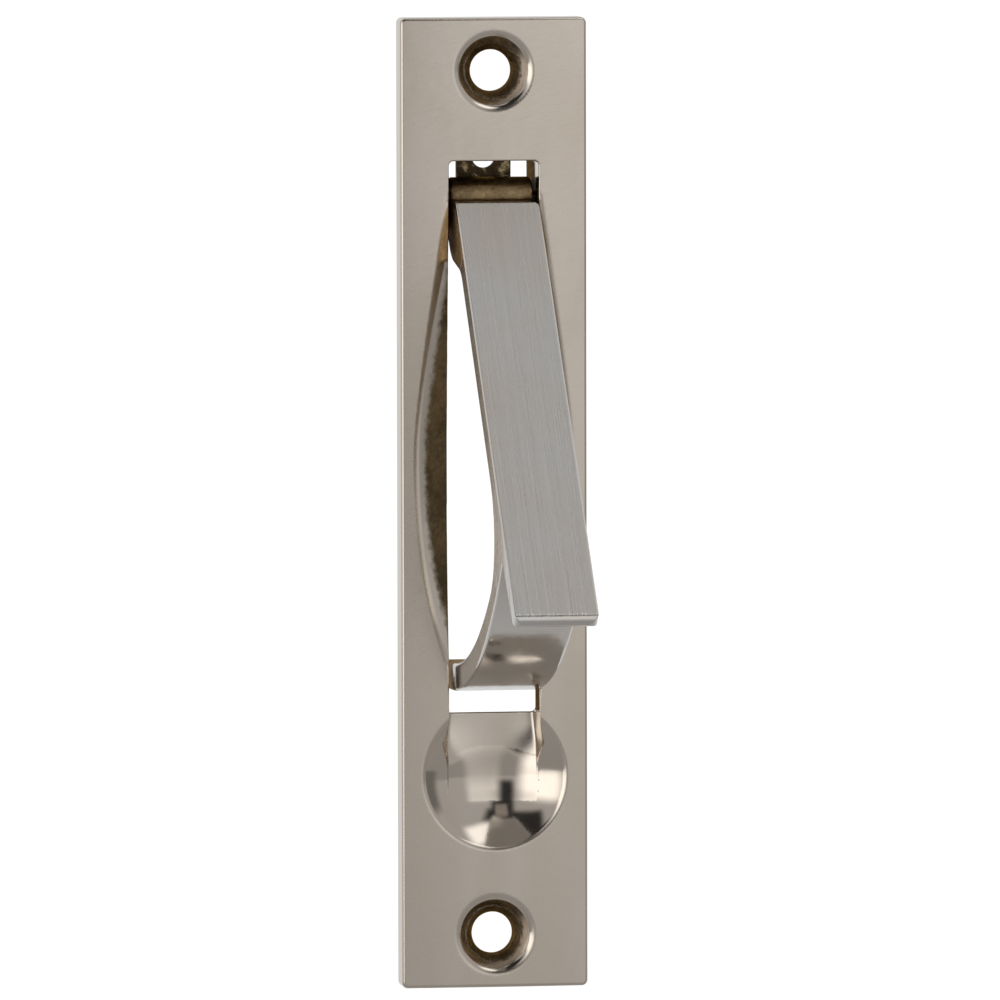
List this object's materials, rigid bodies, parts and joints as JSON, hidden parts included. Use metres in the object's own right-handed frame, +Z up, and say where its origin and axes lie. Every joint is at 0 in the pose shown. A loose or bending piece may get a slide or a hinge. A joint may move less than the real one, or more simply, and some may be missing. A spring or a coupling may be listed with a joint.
{
  "type": "sliding door edge pull",
  "caption": "Flush edge pull for a sliding door: slim face plate with a finger dish and a pivoting lever that swings out of its slot and folds flush.",
  "frame": {"origin": "centre of the face plate's back face, halfway between the two mounting holes", "axes": "+Z up along the plate, +Y into the door, +X to the right seen from the front"},
  "size_m": [0.019, 0.048, 0.0984],
  "materials": {
    "nickel_plate": "nickel-plated brass, satin polished",
    "nickel_lever": "nickel-plated brass, brushed lengthwise",
    "pin_steel": "ground steel",
    "spring_brass": "raw tarnished brass",
    "screw_brass": "raw brass"
  },
  "bodies": {
    "mount_plate": {"face_plate": "nickel_plate", "pivot_pin": "pin_steel", "leaf_spring": "spring_brass", "spring_screw": "screw_brass"},
    "pull": {"pull_lever": "nickel_lever"}
  },
  "joints": [
    {"name": "pull_pivot", "type": "hinge", "parent": "mount_plate", "child": "pull", "pos_m": [0, 0.0012, 0.0303], "axis": [-1, 0, 0], "range_deg": [-44, 0]}
  ]
}
